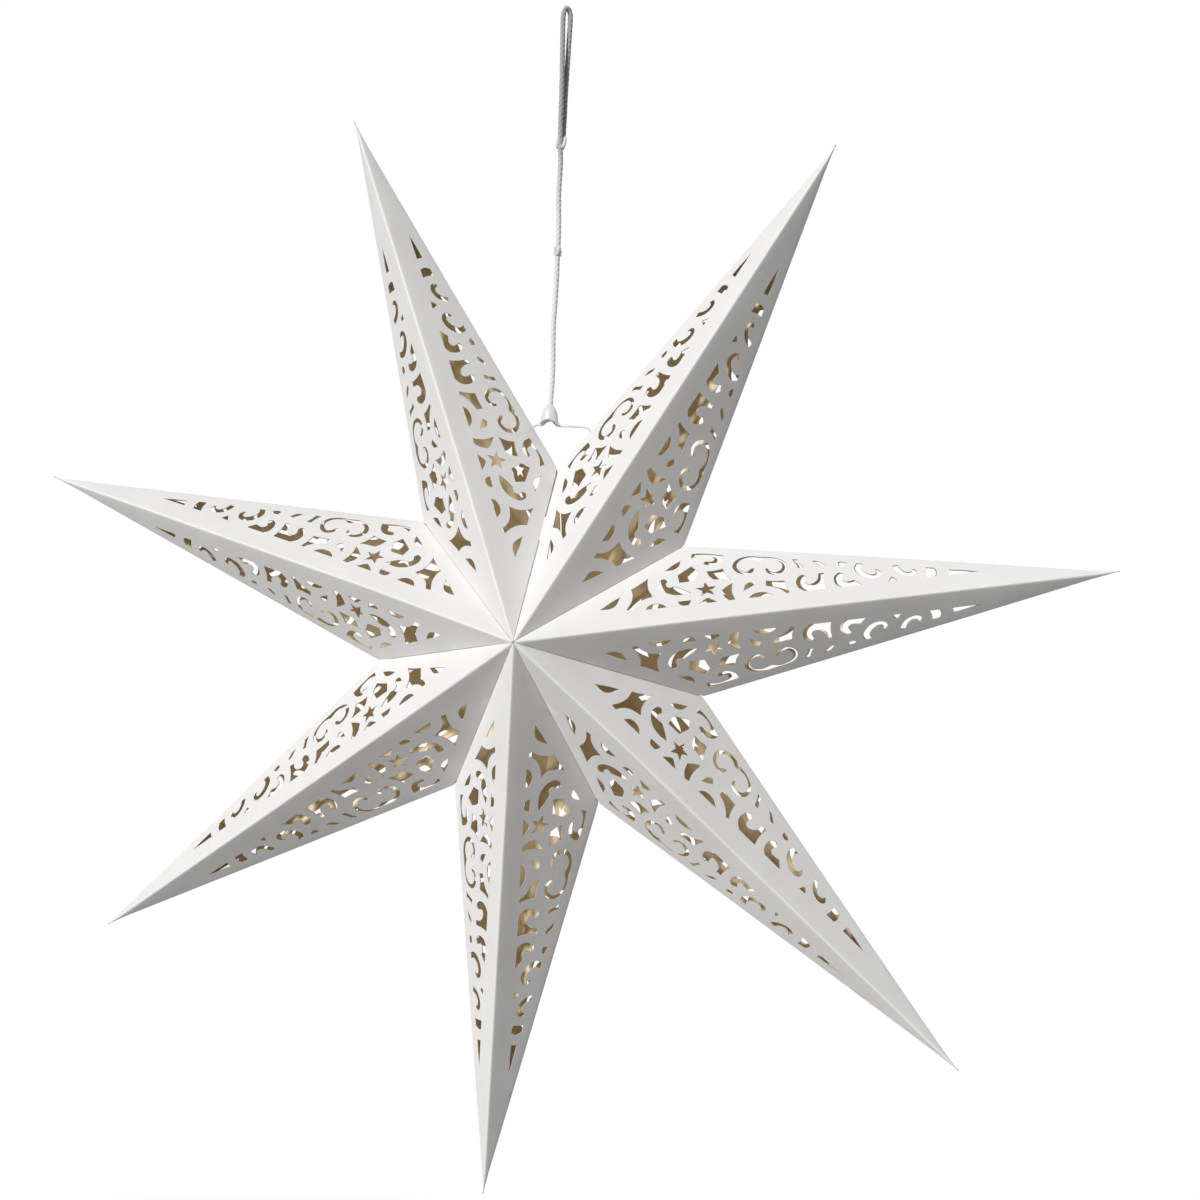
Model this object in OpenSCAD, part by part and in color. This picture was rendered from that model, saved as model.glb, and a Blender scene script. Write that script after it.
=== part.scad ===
/* [Star] */
// Distance from the centre to the tip of an arm
tip_radius = 300; // [240:1:360]
// Distance from the centre to the valley between two arms
valley_radius = 92; // [80:1:104]
// Distance from the middle plane to the front apex, and to the back apex
apex_depth = 60; // [48:1:72]

/* [Card] */
// Thickness of the card
card_t = 0.45; // [0.35:0.05:0.6]
// Width of the glue flaps
flap_w = 6.5; // [5:0.5:7]
// Length of the glue flaps that is cut away at the apex
flap_inner_trim = 16; // [14:1:24]
// Length of the glue flaps that is cut away at the valley
flap_outer_trim = 8; // [6:1:16]
// Pinhole left at each apex, where the corners of the arms are clipped
apex_hole_d = 1.6; // [1:0.1:3]
// Thickness of the glue between a flap and the next arm
glue_t = 0.06; // [0.04:0.01:0.1]
// Open gap at the closing seam beside the valley, which narrows to a third at the apex
seam_gap = 0.8; // [0.4:0.1:1.4]
// Distance from the drawn line of a cut-out to its cut edge
cut_inset = 0.3; // [0.2:0.05:0.4]

/* [Ties] */
// Distance along the fold from the valley to a tie hole
tie_hole_from_valley = 26; // [22:1:34]
// Diameter of a tie hole
tie_hole_d = 2; // [1.6:0.1:2.6]
// Diameter of the tie thread
tie_d = 1.2; // [0.8:0.1:1.4]
// Diameter of the stopper knots inside the arms
stopper_d = 3.2; // [3:0.1:4]

/* [Cord] */
// Diameter of the hanging cord
cord_d = 2.8; // [2.2:0.1:3]
// Diameter of the knot halfway up the cord
cord_knot_d = 5; // [4:0.1:6]
// Diameter of the knot under the loop
loop_knot_d = 6.4; // [6:0.1:7]

/* [Cap] */
// Height of the cord cap
cap_h = 11; // [9:0.5:14]
// Diameter of the cap at its rim
cap_rim_d = 11; // [10:0.5:13]
// Diameter of the cap at its top
cap_top_d = 4.8; // [4.8:0.1:5.6]
// Wall of the cap at its rim
cap_wall = 1; // [0.8:0.1:1.4]
// Thickness of the cap above its hollow
cap_roof = 6; // [5:0.5:7]
// Clearance round the cord in the cap
cap_clearance = 0.2; // [0.1:0.05:0.3]
// Rise of the arch in the cap's rim, at its front and back
cap_arch = 2; // [1:0.25:3]

/* [Hidden] */
$fn = 48;

arm_count = 7;
arm_step = 360 / arm_count;
half_step = arm_step / 2;

// One arm stands on the centre with its tip straight up, before it is turned into place
tip = [0, 0, tip_radius];
apex = [0, -apex_depth, 0];
valley = valley_radius * [sin(half_step), 0, cos(half_step)];

function unit(v) = v / norm(v);

// Directions of the front right face: down the ridge, out from the ridge, and out of the card
ridge_dir = unit(apex - tip);
valley_along = (valley - tip) * ridge_dir;
out_dir = unit(valley - tip - valley_along * ridge_dir);
face_normal = cross(ridge_dir, out_dir);
ridge_len = norm(apex - tip);
valley_out = (valley - tip) * out_dir;

// The folds beside the closing seam run from the top valley to the tips of the upper arms. This is the
// right one, with the direction that points out of its arm
top_valley = [0, 0, valley_radius];
closing_fold = unit(tip_radius * [sin(half_step), 0, cos(half_step)] - top_valley);
closing_out = [-closing_fold[2], 0, closing_fold[0]];
fold_half_angle = acos(-face_normal[1]);
stopper_clearance = 0.1;
stopper_inset = (card_t + stopper_d / 2 + stopper_clearance) / sin(fold_half_angle);

// Slack of a flap where it bends round the edge of its arm
bend_slack = 0.15;

// A point on the line of a tie hole. side is 1 at the right and -1 at the left
function tie_point(side, outward) =
    let (p = top_valley + tie_hole_from_valley * closing_fold + outward * closing_out)
    [side * p[0], 0, p[2]];

// The face on which the cut-outs are drawn: ridge, distance of the valley along it and out from it
drawn_ridge = 306;
drawn_along = 212.8;
drawn_out = 58.4;

// Cut-outs of one face. Each is a list of strokes and each stroke a list of points, given as the
// distance down the ridge from the tip and the distance out from the ridge
spike = [[[69.5, 12], [77, 14.5], [84.4, 16.4]], [[84.4, 16.4], [85.8, 12]]];
small_block = [[[91.6, 12.1], [90.3, 15.2], [90.8, 18.8]], [[90.8, 18.8], [95.4, 20]],
    [[95.4, 20], [96, 16], [97.5, 12.1]]];
small_hook = [[[101.2, 20], [100.1, 17.6], [101.5, 15.3], [104.7, 14.5], [108.6, 16.2], [111, 19.6],
    [112, 24]], [[112, 24], [108.4, 24.2]], [[108.4, 24.2], [107.7, 20.8], [105.6, 18.2], [103.2, 18.2],
    [102.5, 19.6]]];
small_mound = [[[111.2, 12.2], [112.4, 14.8], [113.5, 15.9], [115, 14.6], [116.4, 12]]];
large_hook = [[[119.6, 22.9], [117.9, 20.2], [119.2, 17], [122.8, 15.7], [127.2, 17.2], [130.2, 21],
    [131.1, 25.4], [129, 29.2]], [[129, 29.2], [125.3, 28.1]], [[125.3, 28.1], [127, 25.2],
    [125.8, 21.6], [122.6, 19.2], [120.6, 20.4], [121.2, 22.7]]];
first_slot = [[[133, 29.8], [136, 31.6], [138.2, 31.4]], [[138.2, 31.4], [138, 28.8], [135.2, 27.9],
    [133, 29.8]]];
low_curl = [[[129, 12.1], [140.4, 12.1]], [[140.4, 12.1], [142.6, 14.8], [142.9, 18.8], [141.5, 22],
    [138.7, 23.7], [136.1, 21.8]], [[136.1, 21.8], [138.2, 18.2], [136.6, 16.2], [132.4, 16.9]]];
second_slot = [[[144.2, 30], [147.2, 30], [151, 34.9]], [[151, 34.9], [147.4, 34.2], [144.2, 30]]];
horned_curl = [[[147, 12.1], [147.2, 18], [146.1, 24.7]], [[146.1, 24.7], [149.6, 24.9]],
    [[149.6, 24.9], [150.6, 20.8], [153, 18.2], [155.8, 17.7], [156.8, 19.9], [155.4, 23]],
    [[155.4, 23], [157.2, 25.3], [160.2, 23.6], [162, 19.4], [161.2, 15], [158.4, 12.1]]];
third_slot = [[[155.3, 30.2], [158.8, 30.2]], [[158.8, 30.2], [159.4, 34.2], [161, 37.9]],
    [[161, 37.9], [157.2, 37.1]], [[157.2, 37.1], [156.6, 33.4], [155.3, 30.2]]];
double_scroll = [[[175.4, 33], [174.8, 29.4], [171.2, 26.9], [167, 27.7], [164.2, 31], [163.8, 35.2],
    [166.2, 39], [171, 41.4], [176, 42.6], [181, 44], [186.4, 43.4], [190.4, 40.4], [191.6, 36.2],
    [189.6, 31.9], [185, 29.8], [181.2, 31.4], [180.3, 34.6]], [[180.3, 34.6], [182.2, 34.4]],
    [[182.2, 34.4], [184.8, 32.3], [187.7, 34], [188.4, 37.2], [186.4, 40.6], [182, 41.3],
    [177.6, 39]], [[177.6, 39], [173, 40], [168.8, 38.4], [166.4, 35], [167.2, 31.4], [170.4, 29.5],
    [172.9, 31], [173.4, 33.2]]];
funnel = [[[166.8, 22.4], [171.6, 22.9], [176.5, 24.1]], [[176.5, 24.1], [177.1, 19.6]],
    [[177.1, 19.6], [172.8, 17.6], [169.6, 14.8], [167.8, 12]], [[167.8, 12], [165.4, 12.4]],
    [[165.4, 12.4], [166.5, 17], [166.8, 22.4]]];
wide_dome = [[[174, 11.8], [176.6, 14.7], [180.5, 15.8], [184.6, 14.7], [187.2, 11.8]]];
bean = [[[182, 21.4], [184, 24.1], [187.2, 22.4], [188.9, 17.4]], [[188.9, 17.4], [185.4, 19.2],
    [182, 21.4]]];
outer_hook = [[[194, 46.8], [199.6, 48.9], [205.6, 50.5], [210.6, 51]], [[210.6, 51], [211.6, 46.9]],
    [[211.6, 46.9], [207.4, 48.4], [202.8, 47.9], [199.8, 45.4], [201, 43.3], [204.6, 43.9]],
    [[204.6, 43.9], [205.8, 41.8], [203, 40.1], [199.2, 40.1], [195.6, 42.8], [194, 46.8]]];
kite = [[[196, 36.9], [200.4, 36.1], [205.3, 36.1]], [[205.3, 36.1], [204.2, 31.8], [202.3, 28.7]],
    [[202.3, 28.7], [197.6, 28.3], [192.7, 27.4]], [[192.7, 27.4], [195, 31.6], [196, 36.9]]];
sail = [[[192.7, 25.4], [196.4, 23], [199.9, 19.9]], [[199.9, 19.9], [198.9, 15], [196.6, 11.6]],
    [[196.6, 11.6], [193.1, 11.9]], [[193.1, 11.9], [194, 18], [192.7, 25.4]]];
star_mound = [[[202, 11.7], [204.6, 14.4], [207, 16], [209.8, 14.2], [212.4, 11.7]]];
pentagon = [[[211.8, 41.5], [220, 35.5]], [[220, 35.5], [219.9, 29.2]], [[219.9, 29.2], [211.6, 29.2]],
    [[211.6, 29.2], [208.7, 36.6]]];
valley_leaf = [[[216.5, 46.7], [221.4, 43.8], [226.3, 39.4]], [[226.3, 39.4], [221.4, 39.6],
    [218, 42], [216.5, 46.7]]];
wing = [[[214.2, 20.6], [219, 19.8], [224.4, 20.8], [228.6, 24.2], [230.5, 28.6], [229.4, 32.8],
    [226.6, 33.9], [225, 31.6]], [[225, 31.6], [226.2, 29.2], [225.2, 27.1], [222, 27.3]],
    [[222, 27.3], [218, 24.4], [214.2, 20.6]]];
small_dome = [[[215.1, 15.7], [222.3, 15.5]], [[222.3, 15.5], [221.8, 13], [220.2, 11.5]],
    [[220.2, 11.5], [217, 11.5]], [[217, 11.5], [215.8, 13.2], [215.1, 15.7]]];
low_dome = [[[227.6, 11.8], [229.6, 14.8], [233.2, 16.2], [237, 15], [239.3, 11.8]]];
diamond = [[[234.6, 36], [239.8, 31.9], [244.7, 28.6]], [[244.7, 28.6], [244.3, 24], [245.6, 18.8],
    [248.6, 13.4]], [[248.6, 13.4], [245.2, 12.8]], [[245.2, 12.8], [242.4, 17], [238.2, 19.8],
    [232.7, 21]], [[232.7, 21], [235, 25.6], [235.4, 30.6], [234.6, 36]]];
apex_leaf = [[[250, 24.3], [255.6, 20.8], [261.8, 15.7]], [[261.8, 15.7], [256.4, 15.4],
    [252.6, 18], [250, 24.3]]];
star_centre = [206.7, 22.1];
star_outer = 6.1;
star_inner = 2.7;

// The points of a cut-out in order, without the ones that two strokes share
function outline(strokes) = [for (s = strokes) for (i = [0 : len(s) - 2]) s[i], each last_point(strokes)];
function last_point(strokes) =
    let (s = strokes[len(strokes) - 1], p = s[len(s) - 1]) norm(p - strokes[0][0]) < 0.01 ? [] : [p];

// A closed line moved inwards by a distance, with each corner shifted along its bisector
function inset(points, d) =
    let (n = len(points),
        turned = [for (p = points) 1] * [for (i = [0 : n - 1]) cross(points[i], points[(i + 1) % n])])
    [for (i = [0 : n - 1])
        let (before = unit(points[i] - points[(i + n - 1) % n]),
            after = unit(points[(i + 1) % n] - points[i]),
            across = [-before[1] - after[1], before[0] + after[0]])
        points[i] + sign(turned) * d * across / max(1 + before * after, 0.6)];

star_points = [for (i = [0 : 9])
    star_centre + (i % 2 == 0 ? star_outer : star_inner) * [sin(36 * i), cos(36 * i)]];

cut_outs = [spike, small_block, small_hook, small_mound, large_hook, first_slot, low_curl, second_slot,
    horned_curl, third_slot, double_scroll, funnel, wide_dome, bean, outer_hook, kite, sail, star_mound,
    pentagon, valley_leaf, wing, small_dome, low_dome, diamond, apex_leaf];

// Where the cap hangs: beside the top valley and above it, leaning with the cord
cap_x = -7;
cap_above_valley = 23;
cap_z = valley_radius + cap_above_valley;
cord_lean = 3.3;
cap_hollow_h = cap_h - cap_roof;
cap_hollow_r = 0.2 * cap_rim_d;

// The knot in the cap, which carries it and joins the cord to the tie thread
cap_knot_h = 3.4;
cap_knot_d = 4.4;

// Route of the cord from the cap to the loop and back to its knot, in the cap's own upright. The loop
// hangs turned, so that from the front its strands close in on each other towards the knot
cord_points = [[0, 0, 5], [0, 0, 12], [0.3, 0, 20], [0.4, 0.1, 28], [0.2, 0.2, 36], [-0.1, 0.1, 44],
    [-0.2, 0, 52], [0, -0.1, 60], [0.3, -0.1, 68], [0.4, 0, 76], [0.4, 0, 84], [0.4, 0, 92],
    [0.5, 0, 100], [0.3, 0, 107], [0, 0, 114], [-0.3, 0, 121], [-0.3, 0, 128], [-0.1, 0, 135],
    [-0.2, 0, 142], [-0.4, -0.7, 147], [-0.5, -1.4, 152], [-0.5, -1.8, 159], [-0.6, -1.8, 166],
    [-0.6, -1.8, 173], [-0.7, -1.8, 180], [-0.9, -1.7, 187], [-1.1, -1.7, 194], [-1.3, -1.6, 201],
    [-1.5, -1.5, 208], [-1.7, -1.4, 214], [-1.6, -1.3, 218], [-1, -0.9, 220.6], [0, 0, 221.6],
    [1, 0.9, 220.6], [1.6, 1.3, 218], [1.7, 1.4, 214], [1.5, 1.5, 208], [1.3, 1.6, 201],
    [1.1, 1.7, 194], [0.9, 1.7, 187], [0.7, 1.8, 180], [0.6, 1.8, 173], [0.6, 1.8, 166],
    [0.5, 1.8, 159], [0.5, 1.6, 152]];

// Route of the tie thread between its two holes, measured from the cap's place
tie_points = [[-4.8, 0, -1.1], [-3.2, 0, -0.3], [-1.6, 0, 1.5], [0, 0, 3], [1.6, 0, 1.8], [3, 0, 0.2],
    [4.8, 0, -0.7], [8, 0, -0.6], [12, 0, -0.4], [16, 0, -0.3], [19, 0, -0.4]];
tie_straight = 2;

cord_knot_x = 0.4;
cord_knot_z = 92;
cord_knot_h = 7;
loop_knot_z = 150;
loop_knot_h = 8;

// One tube round a route: a ring of corners at each point, square to the route there
function route_dir(pts, i) =
    unit(pts[min(i + 1, len(pts) - 1)] - pts[max(i - 1, 0)]);
function ring(pts, i, r, sides) =
    let (d = route_dir(pts, i), a = unit(cross([0, 1, 0], d)), b = cross(d, a))
    [for (k = [0 : sides - 1]) pts[i] + r * (cos(360 * k / sides) * a + sin(360 * k / sides) * b)];

module tube(pts, d, sides = 8) {
    n = len(pts);
    corners = [for (i = [0 : n - 1]) each ring(pts, i, d / 2, sides)];
    walls = [for (i = [0 : n - 2]) for (k = [0 : sides - 1]) let (m = (k + 1) % sides)
        each [[i * sides + k, (i + 1) * sides + k, (i + 1) * sides + m],
              [i * sides + k, (i + 1) * sides + m, i * sides + m]]];
    ends = [[for (k = [0 : sides - 1]) k], [for (k = [sides - 1 : -1 : 0]) (n - 1) * sides + k]];
    polyhedron(corners, concat(walls, ends));
}

// A closed spike whose four sides lie on the outside of the card, carried on past the seams
module spike_solid() {
    reach = 1.25;
    right = tip + reach * (valley - tip);
    left = [-right[0], 0, right[2]];
    front = tip + reach * (apex - tip);
    back = [0, -front[1], front[2]];
    polyhedron([tip, right, front, left, back],
        [[0, 1, 2], [0, 2, 3], [0, 3, 4], [0, 4, 1], [1, 4, 2], [3, 2, 4]]);
}

// The card between two depths below the outside, on all four sides
module layer(from, to) {
    difference() {
        translate([0, 0, -from / face_normal[2]]) spike_solid();
        translate([0, 0, -to / face_normal[2]]) spike_solid();
    }
}

// The room of one arm between its two seams
module sector() {
    reach = 1.1 * tip_radius;
    rotate([90, 0, 0])
        linear_extrude(3 * apex_depth, center = true)
            polygon([[0, 0], [reach * tan(half_step), reach], [-reach * tan(half_step), reach]]);
}

// The flap that turns under the next arm, with the doubled card at its fold, as one bent strip along the
// front seam. It is sunk halfway into its own card, and stands off the next arm by its glue
module seam_flap() {
    seam_dir = unit(valley - apex);
    across = [cos(half_step), 0, -sin(half_step)];
    inward = cross(seam_dir, across);
    slope = asin(face_normal * across);
    stretch = norm(valley - apex) / valley_radius;
    start = apex + stretch * flap_inner_trim * seam_dir;
    own_way = [-cos(slope), -sin(slope)];
    own_down = [-sin(slope), cos(slope)];
    next_way = [cos(slope), -sin(slope)];
    next_down = [sin(slope), cos(slope)];
    own_edge = 3 * card_t * own_way + card_t / 2 * own_down;
    next_edge = flap_w * next_way + (card_t + glue_t) * next_down;
    bend = [0, card_t / cos(slope) + bend_slack];
    multmatrix([[across[0], inward[0], seam_dir[0], start[0]],
                [across[1], inward[1], seam_dir[1], start[1]],
                [across[2], inward[2], seam_dir[2], start[2]]])
        linear_extrude(stretch * (valley_radius - flap_inner_trim - flap_outer_trim))
            polygon([own_edge, card_t / 2 * own_down, bend, (card_t + glue_t) * next_down, next_edge,
                next_edge + card_t * next_down, bend + [0, card_t / cos(slope)],
                own_edge + 1.5 * card_t * own_down]);
}

// The flap that closes the sheet inside the back ridge
module ridge_flap() {
    intersection() {
        layer(card_t / 2, 2 * card_t);
        translate([-flap_w * out_dir[0], 0, 0.1 * tip_radius])
            cube([flap_w * out_dir[0] + 3 * card_t, apex_depth, 0.72 * tip_radius]);
    }
}

// The cut-outs of the front right face, drawn flat and carried onto the face
module face_cuts() {
    scale_along = ridge_len / drawn_ridge;
    scale_out = valley_out / drawn_out;
    shear = (valley_along - drawn_along * scale_along) / drawn_out;
    multmatrix([[ridge_dir[0], out_dir[0], face_normal[0], tip[0]],
                [ridge_dir[1], out_dir[1], face_normal[1], tip[1]],
                [ridge_dir[2], out_dir[2], face_normal[2], tip[2]]])
        translate([0, 0, -3 * card_t])
            linear_extrude(4 * card_t)
                for (drawn = concat([for (c = cut_outs) outline(c)], [star_points]))
                    polygon([for (p = inset(drawn, cut_inset))
                        [scale_along * p[0] + shear * p[1], scale_out * p[1]]]);
}

// One folded sheet with its flaps, turned to its place clockwise from the closing seam
module arm(place, seam_glued = true) {
    rotate([0, (place + 0.5) * arm_step, 0])
        difference() {
            union() {
                intersection() {
                    layer(0, card_t);
                    sector();
                }
                ridge_flap();
                if (seam_glued) for (through = [0, 1]) mirror([0, through, 0]) seam_flap();
            }
            for (across = [0, 1], through = [0, 1])
                mirror([across, 0, 0]) mirror([0, through, 0]) face_cuts();
            rotate([90, 0, 0]) cylinder(d = apex_hole_d, h = 3 * apex_depth, center = true);
        }
}

// The open gap of the closing seam, and the hole through the fold on each side of it
module closing_cuts() {
    rotate([90, 0, 0])
        linear_extrude(4 * apex_depth, center = true)
            polygon([[-seam_gap / 6, 0], [seam_gap / 6, 0], [seam_gap / 2, valley_radius],
                [seam_gap / 2, 1.2 * valley_radius], [-seam_gap / 2, 1.2 * valley_radius],
                [-seam_gap / 2, valley_radius]]);
    for (side = [-1, 1])
        translate(tie_point(side, 0))
            rotate([0, side * atan2(closing_out[0], closing_out[2]), 0])
                cylinder(d = tie_hole_d, h = 4 * stopper_inset, center = true);
}

module arm_upper_right() {
    color("white")
        difference() {
            arm(0);
            closing_cuts();
        }
}

module arm_right() { color("white") arm(1); }
module arm_lower_right() { color("white") arm(2); }
module arm_bottom() { color("white") arm(3); }
module arm_lower_left() { color("white") arm(4); }
module arm_left() { color("white") arm(5); }

module arm_upper_left() {
    color("white")
        difference() {
            arm(6, seam_glued = false);
            closing_cuts();
        }
}

// A knot with flat ends, as a turned barrel
module knot(d, h, end_d) {
    rotate_extrude()
        polygon([[0, -h / 2], [end_d / 2, -h / 2], [0.46 * d, -0.28 * h], [d / 2, 0], [0.46 * d, 0.28 * h],
            [end_d / 2, h / 2], [0, h / 2]]);
}

// What stands in the cap's own upright, put in its place over the closing seam
module on_cap() {
    translate([cap_x, 0, cap_z]) rotate([0, -cord_lean, 0]) children();
}

module tie_thread() {
    ends = [-stopper_inset, 0, tie_straight];
    left = [for (outward = ends) tie_point(-1, outward)];
    middle = [for (p = tie_points) [cap_x, 0, cap_z] + p];
    right = [for (i = [2, 1, 0]) tie_point(1, ends[i])];
    color("gainsboro") {
        tube(concat(left, middle, right), tie_d);
        for (side = [-1, 1]) translate(tie_point(side, -stopper_inset)) sphere(d = stopper_d);
        on_cap()
            translate([0, 0, cap_hollow_h - cap_knot_h / 2])
                knot(cap_knot_d, cap_knot_h, 1.8 * cap_hollow_r);
    }
}

module cord_cap() {
    bore = cord_d + 2 * cap_clearance;
    arch_r = (cap_rim_d * cap_rim_d / 6 + cap_arch * cap_arch) / (2 * cap_arch);
    color("whitesmoke")
        on_cap()
            difference() {
                rotate_extrude()
                    polygon([[cap_rim_d / 2, 0], [0.46 * cap_rim_d, 0.2 * cap_h],
                        [0.4 * cap_rim_d, 0.5 * cap_h], [0.32 * cap_rim_d, 0.76 * cap_h],
                        [cap_top_d / 2, 0.92 * cap_h], [cap_top_d / 2 - 0.5, cap_h],
                        [bore / 2, cap_h], [bore / 2, cap_hollow_h],
                        [cap_hollow_r, cap_hollow_h], [cap_rim_d / 2 - cap_wall, 0]]);
                translate([0, 0, cap_arch - arch_r])
                    rotate([90, 0, 0]) cylinder(r = arch_r, h = 2 * cap_rim_d, center = true);
            }
}

module hanging_cord() {
    color("gainsboro")
        on_cap() {
            tube(cord_points, cord_d);
            translate([cord_knot_x, 0, cord_knot_z]) knot(cord_knot_d, cord_knot_h, cord_d + 0.4);
            translate([0, 0, loop_knot_z]) knot(loop_knot_d, loop_knot_h, cord_d + 1.6);
        }
}

arm_upper_right();
arm_right();
arm_lower_right();
arm_bottom();
arm_lower_left();
arm_left();
arm_upper_left();
tie_thread();
cord_cap();
hanging_cord();
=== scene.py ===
import bpy
import math
import numpy as np
from mathutils import Matrix, Vector
from mathutils.geometry import delaunay_2d_cdt


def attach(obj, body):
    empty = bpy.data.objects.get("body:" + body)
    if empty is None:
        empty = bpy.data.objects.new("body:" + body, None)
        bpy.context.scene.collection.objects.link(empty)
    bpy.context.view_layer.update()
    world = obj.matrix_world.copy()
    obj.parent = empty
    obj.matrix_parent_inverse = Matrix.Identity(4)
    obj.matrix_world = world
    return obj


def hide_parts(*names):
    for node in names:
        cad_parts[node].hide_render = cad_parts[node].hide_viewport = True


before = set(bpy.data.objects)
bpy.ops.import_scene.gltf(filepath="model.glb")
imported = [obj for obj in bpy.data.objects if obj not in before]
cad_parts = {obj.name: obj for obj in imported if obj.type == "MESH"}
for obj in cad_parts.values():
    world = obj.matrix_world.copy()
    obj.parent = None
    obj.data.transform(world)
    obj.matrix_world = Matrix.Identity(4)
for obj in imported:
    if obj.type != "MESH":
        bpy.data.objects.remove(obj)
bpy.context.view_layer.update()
scene = bpy.context.scene
scene.view_settings.view_transform = "Standard"
print("frame loaded")

# lengths below are in millimetres and turn into metres where a mesh is made

view = {
    "place": (0.18442, -0.77456, 0.03205),
    "right": (0.97565, 0.19600, 0.09844),
    "up": (-0.09842, -0.00986, 0.99510),
    "lens": 44.86,
    "sensor": 36.0,
}


def placeCamera():
    data = bpy.data.cameras.new("camera")
    data.lens = view["lens"]
    data.sensor_width = view["sensor"]
    data.clip_start = 0.01
    made = bpy.data.objects.new("camera", data)
    scene.collection.objects.link(made)
    right = Vector(view["right"]).normalized()
    up = Vector(view["up"]).normalized()
    turned = Matrix((right, up, right.cross(up))).transposed()
    made.matrix_world = Matrix.Translation(view["place"]) @ turned.to_4x4()
    scene.camera = made


placeCamera()
print("camera placed")


# a wired value of a shader: each operator adds the Math node for it
class Wire:
    def __init__(self, shader, socket):
        self.shader = shader
        self.socket = socket

    def math(self, other, operation):
        return self.shader.node("ShaderNodeMath", {"operation": operation}, {0: self, 1: other})

    def __add__(self, other):
        return self.math(other, "ADD")

    __radd__ = __add__

    def __mul__(self, other):
        return self.math(other, "MULTIPLY")

    __rmul__ = __mul__


# a material with its Principled shader, and one method for every other node
class Finish:
    def __init__(self, name):
        self.material = bpy.data.materials.new(name)
        self.material.use_nodes = True
        self.tree = self.material.node_tree
        self.surface = self.tree.nodes["Principled BSDF"]

    def feed(self, socket, value):
        if isinstance(value, Wire):
            self.tree.links.new(value.socket, socket)
        else:
            socket.default_value = value

    def node(self, kind, settings, inputs, output=0):
        made = self.tree.nodes.new(kind)
        stops = settings.pop("stops", None)
        for key, value in settings.items():
            setattr(made, key, value)
        if stops:
            while len(made.color_ramp.elements) < len(stops):
                made.color_ramp.elements.new(0.5)
            for element, (place, colour) in zip(made.color_ramp.elements, stops):
                element.position = place
                element.color = (*colour, 1)
        for key, value in inputs.items():
            self.feed(made.inputs[key], value)
        return Wire(self, made.outputs[output])

    def place(self):
        return self.node("ShaderNodeTexCoord", {}, {}, "Object")

    def noise(self, vector, scale, detail=3.0, rough=0.55):
        return self.node("ShaderNodeTexNoise", {}, {"Vector": vector, "Scale": scale, "Detail": detail,
                                                    "Roughness": rough})

    def spread(self, value, low, high, to=0.0, end=1.0):
        return self.node("ShaderNodeMapRange", {"clamp": True}, {0: value, 1: low, 2: high, 3: to, 4: end})

    def mix(self, factor, first, second, blend="MIX"):
        return self.node("ShaderNodeMix", {"data_type": "RGBA", "blend_type": blend},
                         {0: factor, 6: first, 7: second}, 2)

    def attribute(self, name):
        return self.node("ShaderNodeAttribute", {"attribute_name": name}, {}, "Fac")

    def stretched(self, vector, scale):
        return self.node("ShaderNodeMapping", {}, {"Vector": vector, "Scale": scale})

    def bump(self, height, strength, distance):
        return self.node("ShaderNodeBump", {},
                         {"Height": height, "Strength": strength, "Distance": distance})

    def paint(self, sockets):
        for name, value in sockets.items():
            self.feed(self.surface.inputs[name], value)
        return self.material


# the world's shader, made with the same methods
class Backdrop(Finish):
    def __init__(self, name):
        self.material = bpy.data.worlds.new(name)
        self.material.use_nodes = True
        self.tree = self.material.node_tree
        self.surface = self.tree.nodes["Background"]
        scene.world = self.material

    def rays(self, kind):
        return self.node("ShaderNodeLightPath", {}, {}, kind)


card = {
    "white": (0.87, 0.866, 0.858, 1),
    "shaded": (0.835, 0.83, 0.822, 1),
    # painted highlight for the creases
    "paintedHighlight": (0.93, 0.928, 0.92, 1),
    # painted shade and bounced light: the buff of the white card's inside
    "inside": (0.95, 0.84, 0.64, 1),
    "insideDark": (0.88, 0.74, 0.52, 1),
    "edge": (0.72, 0.60, 0.42, 1),
    "edgeBrown": (0.50, 0.37, 0.20, 1),
}


# satin white outside: faint blotches, fibres in the bump, and a painted highlight, a brighter line along
# each crease where its rounded crown catches the light
def cardOutside():
    f = Finish("whiteCard")
    at = f.place()
    blotch = f.noise(at, 38, 3)
    fibre = f.noise(at, 900, 4, 0.7)
    wave = f.noise(at, 14, 2)
    tone = f.mix(f.spread(blotch * 0.7 + fibre * 0.3, 0.38, 0.62), card["shaded"], card["white"])
    # painted highlight: the card turns brighter close to each crease
    colour = f.mix(f.spread(f.attribute("creaseHighlight"), 0.2, 0.9), tone, card["paintedHighlight"])
    rough = f.spread(fibre, 0.3, 0.7, 0.5, 0.62)
    fine = f.bump(fibre, 0.25, 0.00012)
    broad = f.node("ShaderNodeBump", {}, {"Height": wave, "Strength": 0.35, "Distance": 0.004,
                                          "Normal": fine})
    return f.paint({"Base Color": colour, "Roughness": rough, "Normal": broad, "Specular IOR Level": 0.35})


# the inside of the white card, tinted buff with darker specks: painted shade and bounced light, the warm
# tone it takes inside the star
def cardInside():
    f = Finish("cardInsidePaintedShade")
    at = f.place()
    speck = f.noise(at, 520, 4, 0.7)
    blotch = f.noise(at, 45, 3)
    colour = f.mix(f.spread(speck * 0.6 + blotch * 0.4, 0.35, 0.62), card["insideDark"], card["inside"])
    return f.paint({"Base Color": colour, "Roughness": f.spread(speck, 0.3, 0.7, 0.7, 0.85),
                   "Normal": f.bump(speck, 0.3, 0.00015), "Specular IOR Level": 0.25})


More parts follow.
